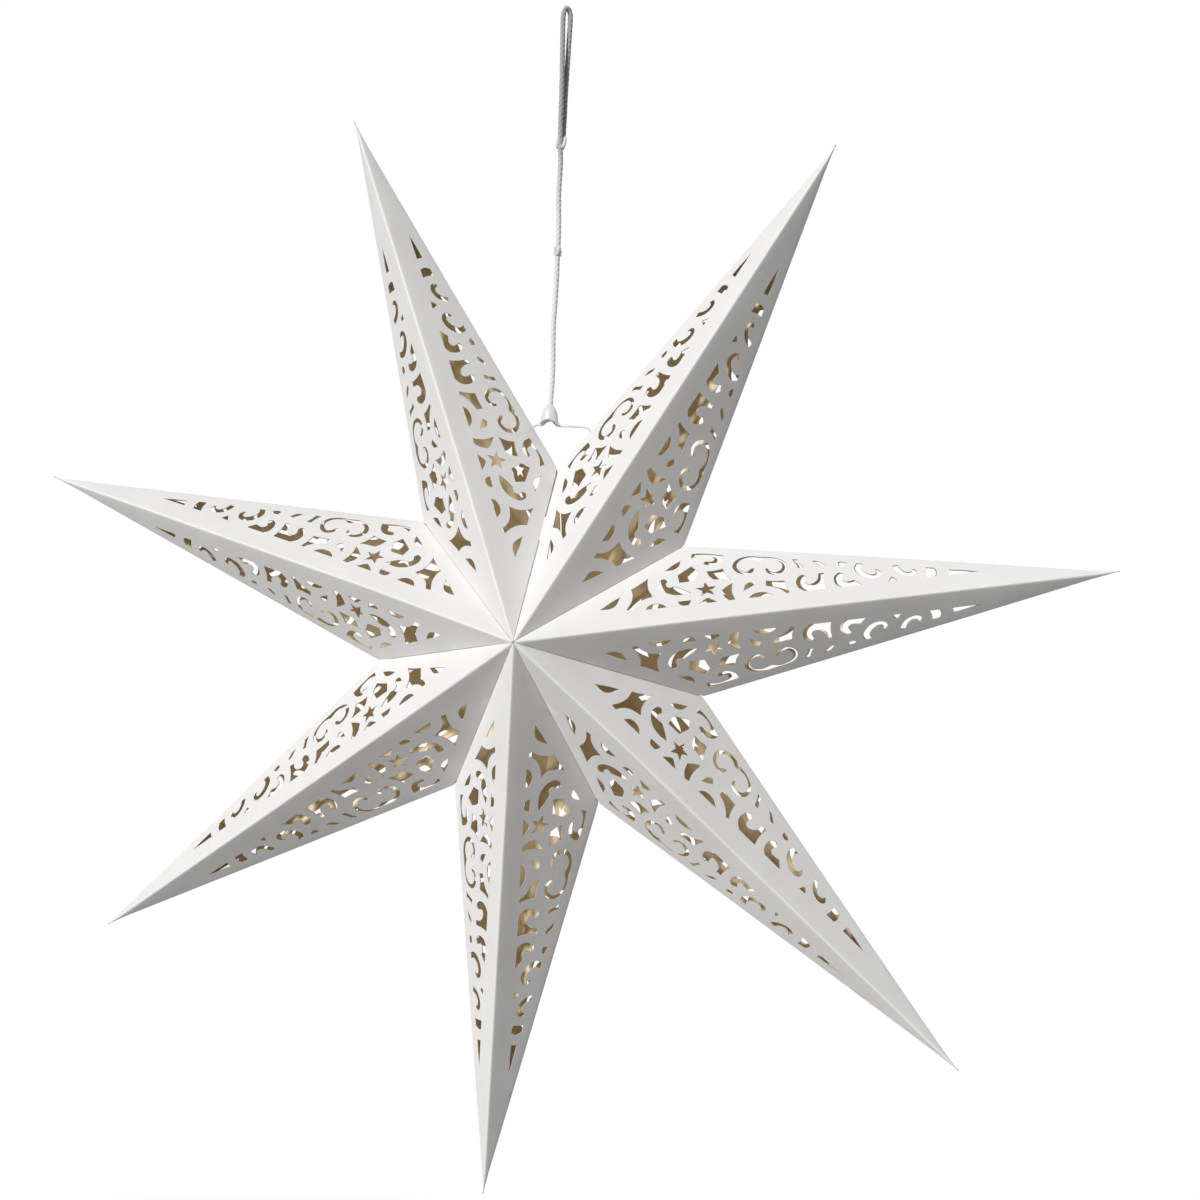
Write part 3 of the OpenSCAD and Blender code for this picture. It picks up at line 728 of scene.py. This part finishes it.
# a twisted cord: at each point of the route a ring whose radius falls into a furrow between two plies,
# and the furrows turn once in each pitch
def twistedTube(route, diameter, plies, pitch, spacing=0.45, sides=24, depth=0.2, closed=False,
                axis=(0, 1, 0)):
    path, at = evenRoute(route, spacing)
    if closed:
        path, at = path[:-1], at[:-1]
        way = unit(np.roll(path, -1, 0) - np.roll(path, 1, 0))
    else:
        way = unit(np.gradient(path, axis=0))
    a = unit(np.cross(axis, way))
    b = np.cross(way, a)
    turn = np.arange(sides) * 2 * math.pi / sides
    phase = plies * (turn[None] - 2 * math.pi * at[:, None] / pitch) / 2
    lobe = np.abs(np.cos(phase)) ** 0.6
    radius = diameter / 2 * (1 - depth + depth * lobe)
    ring = path[:, None] + radius[..., None] * (np.cos(turn)[None, :, None] * a[:, None]
                                                + np.sin(turn)[None, :, None] * b[:, None])
    n = len(path)
    faces = gridFaces(n, sides, True, closed)
    corners = ring.reshape(-1, 3)
    # the furrow mask darkens the colour as painted shade
    marks = {"furrowShade": (1 - lobe).reshape(-1), "along": np.repeat(at / at[-1], sides)}
    if closed:
        return corners, faces, np.zeros((0, 3), int), marks
    caps = np.vstack([path[0], path[-1]])
    k = np.arange(sides)
    m = (k + 1) % sides
    last = (n - 1) * sides
    ends = np.vstack([np.stack([np.full(sides, n * sides), m, k], 1),
                      np.stack([np.full(sides, n * sides + 1), last + k, last + m], 1)])
    marks = {"furrowShade": np.append(marks["furrowShade"], [0, 0]),
             "along": np.append(marks["along"], [0, 1])}
    return np.vstack([corners, caps]), faces, ends, marks


def addTube(name, tube, finish):
    corners, faces, ends, marks = tube
    sets = [(faces[:, ::-1], 0)]
    if len(ends):
        sets.append((ends[:, ::-1], 0))
    return addPiece(name, corners, sets, [finish], marks)


cotton, milky = cordFinish(), capFinish()

cordRoute = onCap(smoothRoute(cord["route"], 6))
cordTube = twistedTube(cordRoute, cord["diameter"], cord["plies"], cord["pitch"])
hangingCord = addTube("hangingCord", cordTube, cotton)
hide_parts("hanging_cord")


# a knot tied round the cord: a tube along a three-lobed closed line that winds round the cord's axis
def tiedKnot(name, centre, size, strand, height, finish, turn=0.0):
    t = np.linspace(0, 2 * math.pi, 241)
    x = np.sin(t) + 2 * np.sin(2 * t)
    y = np.cos(t) - 2 * np.cos(2 * t)
    z = -np.sin(3 * t)
    c, s = math.cos(turn), math.sin(turn)
    route = np.stack([(x * c - y * s) * size, (x * s + y * c) * size, z * height], 1)
    tube = twistedTube(route, strand, 3, 6.0, 0.3, 16, 0.16, True, (0, 0, 1))
    corners = onCap(tube[0] + np.array(centre))
    # the knot's furrows carry a weaker painted shade
    return addPiece(name, corners, [(tube[1][:, ::-1], 0)], [finish],
                    {"furrowShade": 0.4 * tube[3]["furrowShade"], "along": np.full(len(corners), 0.2)})


# loose fibres: thin closed tubes that leave a knot sideways and curl, all in one mesh
def strayFibres(name, centre, count, reach, finish, seed):
    rng = np.random.default_rng(seed)
    sides, rings = 5, 9
    t = np.linspace(0, 1, rings)
    corners, faces, ends = [], [], []
    for k in range(count):
        way = rng.uniform(0, 2 * math.pi)
        length = reach * rng.uniform(0.45, 1)
        lift = rng.uniform(-0.9, 0.9)
        curl = rng.uniform(-1.4, 1.4)
        r = 0.9 + t * length
        angle = way + curl * t ** 2
        path = np.stack([r * np.cos(angle), r * np.sin(angle), lift * length * t + 0.8 * curl * t ** 2], 1)
        width = 0.2 * (1 - 0.4 * rng.random())
        tube = twistedTube(path, width, 1, 50, length / 8, sides, 0.0, False, (0, 0.1, 1))
        n = sum(len(c) for c in corners)
        corners.append(tube[0] + np.array(centre))
        faces.append(tube[1] + n)
        ends.append(tube[2] + n)
    corners = onCap(np.vstack(corners))
    sets = [(np.vstack(faces)[:, ::-1], 0), (np.vstack(ends)[:, ::-1], 0)]
    return addPiece(name, corners, sets, [finish],
                    {"furrowShade": np.zeros(len(corners)), "along": np.full(len(corners), 0.2)})


cordKnot = tiedKnot("cordKnot", cord["knotPlace"], 0.52, 1.7, 1.9, cotton, 0.4)
loopKnot = tiedKnot("loopKnot", cord["loopKnotPlace"], 0.70, 2.1, 2.6, cotton, 1.3)
knotFibres = strayFibres("knotFibres", cord["knotPlace"], 12, 2.8, cotton, 5)

cap = {
    "height": 10.2,
    "rim": 11.0,
    "wall": 1.0,
    "roof": 5.2,
    "arch": 2.0,
    "bore": 3.2,
}


# the bell cap: one closed profile turned round the cord, whose rim is cut by an arch from front to back
def bellCap():
    h, rim = cap["height"], cap["rim"] / 2
    outer = smoothRoute([(rim, 0), (0.985 * rim, 0.06 * h), (0.92 * rim, 0.2 * h), (0.86 * rim, 0.36 * h),
                         (0.8 * rim, 0.5 * h), (0.72 * rim, 0.65 * h), (0.62 * rim, 0.78 * h),
                         (0.5 * rim, 0.88 * h), (0.43 * rim, 0.94 * h), (0.39 * rim, 0.98 * h),
                         (0.345 * rim, h)], 4)
    bore = cap["bore"] / 2
    hollow = h - cap["roof"]
    inner = smoothRoute([(bore, h - 0.3), (bore, hollow + 1), (bore, hollow)], 3)
    flare = smoothRoute([(2.2, hollow), (0.5 * rim + 0.6, 0.3 * h), (rim - cap["wall"], 0.0)], 8)
    line = np.vstack([outer, inner, flare])
    turn = np.arange(72) * 2 * math.pi / 72
    radius, height = line[:, 0][:, None], line[:, 1][:, None]
    x, y = radius * np.cos(turn), radius * np.sin(turn)
    r = (cap["rim"] ** 2 / 6 + cap["arch"] ** 2) / (2 * cap["arch"])
    low = cap["arch"] - r + np.sqrt(np.clip(r * r - x * x, 0, None))
    z = np.maximum(height + 0 * x, np.where(low > 0, low, 0) * np.clip(1 - height / (0.5 * h), 0, 1)
                   + height * np.clip(height / (0.5 * h), 0, 1))
    corners = onCap(np.stack([x, y, z], -1).reshape(-1, 3))
    faces = gridFaces(len(line), 72, True, True)
    made = addPiece("cordCap", corners, [(faces, 0)], [milky], None, 40)
    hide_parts("cord_cap")
    return made


cordCap = bellCap()

# the tie thread from inside the upper left arm, through its fold, over the cap's knot and into the other
closingFold = unit(star["tipRadius"] * np.array([math.sin(step / 2), 0, math.cos(step / 2)])
                   - np.array([0, 0, star["valleyRadius"]]))
closingOut = np.array([-closingFold[2], 0, closingFold[0]])
inset = (star["cardThickness"] + 1.6 + 0.1) / math.sin(foldHalf)


def tiePoint(side, outward):
    hole = np.array([0, 0, star["valleyRadius"]]) + star["tieHoleFromValley"] * closingFold
    return (hole + outward * closingOut) * [side, 1, 1]


tieMiddle = np.array(cord["tieRoute"]) + [cord["capX"], 0, cord["capZ"]]
tieRoute = smoothRoute(np.vstack([tiePoint(-1, -inset), tiePoint(-1, 0), tiePoint(-1, 2), tieMiddle,
                                  tiePoint(1, 2), tiePoint(1, 0), tiePoint(1, -inset)]), 6)
tieTube = twistedTube(tieRoute, cord["tieDiameter"], 2, 3.4, 0.3, 16, 0.18)
tieTube[3]["along"] = tieTube[3]["along"] * 0.2
tieThread = addTube("tieThread", tieTube, cotton)
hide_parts("tie_thread")


# a small round knot: a ball whose surface rises and falls in slanting waves
def ballKnot(name, centre, width, height, finish, sides=40, rows=24):
    u = np.linspace(0.04, 0.96, rows)[:, None] * math.pi
    v = np.arange(sides)[None] * 2 * math.pi / sides
    wave = 1 - 0.1 * np.abs(np.sin(1.5 * v + 2.2 * u)) - 0.06 * np.abs(np.sin(2 * v - 3 * u))
    x = width / 2 * np.sin(u) * np.cos(v) * wave
    y = width / 2 * np.sin(u) * np.sin(v) * wave
    z = height / 2 * np.cos(u) * (wave * 0.5 + 0.5)
    corners = np.stack([x, y, z + 0 * x], -1).reshape(-1, 3)
    poles = np.array([[0, 0, height / 2], [0, 0, -height / 2]])
    n = len(corners)
    k = np.arange(sides)
    m = (k + 1) % sides
    ends = np.vstack([np.stack([np.full(sides, n), k, m], 1),
                      np.stack([np.full(sides, n + 1), (rows - 1) * sides + m, (rows - 1) * sides + k], 1)])
    faces = gridFaces(rows, sides)[:, ::-1]
    corners = np.vstack([corners, poles]) + np.array(centre)
    # painted shade in the dips between the waves
    furrowShade = np.append((1 - wave).reshape(-1) * 3, [0, 0])
    made = addPiece(name, corners, [(faces, 0), (ends, 0)], [finish],
                    {"furrowShade": furrowShade, "along": np.full(len(corners), 0.2)})
    return made


leftStop = ballKnot("leftStopper", tiePoint(-1, -inset), 3.2, 3.2, cotton)
rightStop = ballKnot("rightStopper", tiePoint(1, -inset), 3.2, 3.2, cotton)
capKnot = ballKnot("capKnot", onCap([(0, 0, 3.2)])[0], 4.2, 3.6, cotton)
print("cord, cap and tie made")

stage = {
    "floorHeight": -1.2,
    "floorRadius": 2.15,
    "floorRim": 0.5,
    # way to each lamp, its strength and its softness in degrees
    "lamps": {"key": ((-0.45, -0.77, 0.45), 2.9, 7.0), "fill": ((0.7, -0.17, 0.7), 0.51, 40.0),
              "rear": ((0.3, 0.85, 0.43), 1.0, 30.0)},
    "ambient": 0.07,
}


def addFloor():
    rings = np.linspace(0, stage["floorRadius"] * 1000, 30)[1:]
    turn = np.arange(96) * 2 * math.pi / 96
    x, y = rings[:, None] * np.cos(turn), rings[:, None] * np.sin(turn)
    corners = np.stack([x, y, np.full_like(x, stage["floorHeight"] * 1000)], -1).reshape(-1, 3)
    corners = np.vstack([corners, [[0, 0, stage["floorHeight"] * 1000]]])
    k = np.arange(96)
    hub = np.stack([np.full(96, len(corners) - 1), k, (k + 1) % 96], 1)
    f = Finish("paleFloor")
    at = f.place()
    far = f.node("ShaderNodeVectorMath", {"operation": "LENGTH"},
                 {0: f.stretched(at, (1, 1, 0))}, 1)
    grain = f.noise(at, 30, 3)
    f.paint({"Base Color": f.mix(f.spread(grain, 0.3, 0.7), (0.57, 0.57, 0.57, 1), (0.61, 0.61, 0.605, 1)),
            "Roughness": 0.9,
            "Alpha": f.spread(far, stage["floorRadius"] - stage["floorRim"], stage["floorRadius"], 1, 0)})
    made = addPiece("floor", corners, [(gridFaces(29, 96)[:, ::-1], 0), (hub, 0)], [f.material])


def addLight():
    for name, (way, strength, softness) in stage["lamps"].items():
        data = bpy.data.lights.new(name, "SUN")
        data.energy = strength
        data.angle = math.radians(softness)
        made = bpy.data.objects.new(name, data)
        scene.collection.objects.link(made)
        made.rotation_euler = Vector(way).to_track_quat("Z", "Y").to_euler()
    f = Backdrop("studio")
    seen = f.rays("Is Camera Ray")
    for kind in ("Is Glossy Ray", "Is Transmission Ray"):
        seen = seen.math(f.rays(kind), "MAXIMUM")
    f.paint({"Color": (1, 1, 1, 1), "Strength": f.spread(seen, 0, 1, stage["ambient"], 1)})


addFloor()
addLight()
print("stage lit")
